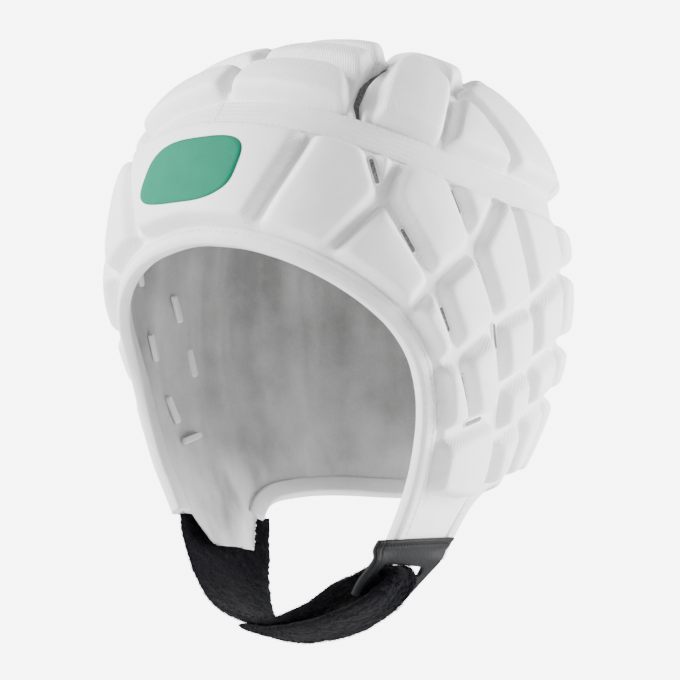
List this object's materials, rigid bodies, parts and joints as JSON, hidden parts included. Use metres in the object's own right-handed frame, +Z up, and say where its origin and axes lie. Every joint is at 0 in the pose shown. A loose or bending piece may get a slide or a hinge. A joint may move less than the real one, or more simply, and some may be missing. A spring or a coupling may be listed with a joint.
{
  "type": "rugby scrum cap",
  "caption": "Padded white headguard with foam blocks in quilted channels, crown petals, grey lining, bound face opening and a black chin strap through a side tab.",
  "frame": {"origin": "inside of the crown at its middle, where the cap rests on the head; the flaps and the strap hang below the rim", "axes": "+Z up, the face opening towards -Y, the wearer's left towards +X"},
  "size_m": [0.1814, 0.2074, 0.2556],
  "materials": {
    "shell_cloth": "matt white laminated cloth over closed-cell foam",
    "tape_cloth": "matt white woven tape",
    "lining_cloth": "matt grey knitted cloth",
    "strap_cloth": "black loop-pile strap",
    "tab_vinyl": "satin dark grey coated cloth"
  },
  "bodies": {
    "root": {"crown_front": "shell_cloth", "crown_left": "shell_cloth", "crown_right": "shell_cloth", "crown_back": "shell_cloth", "forehead_panel": "shell_cloth", "side_panel_left": "shell_cloth", "side_panel_right": "shell_cloth", "lining": "lining_cloth", "crown_tape": "tape_cloth", "face_binding": "tape_cloth", "rear_binding": "tape_cloth", "strap_tab": "tab_vinyl", "chin_strap": "strap_cloth"}
  },
  "joints": []
}
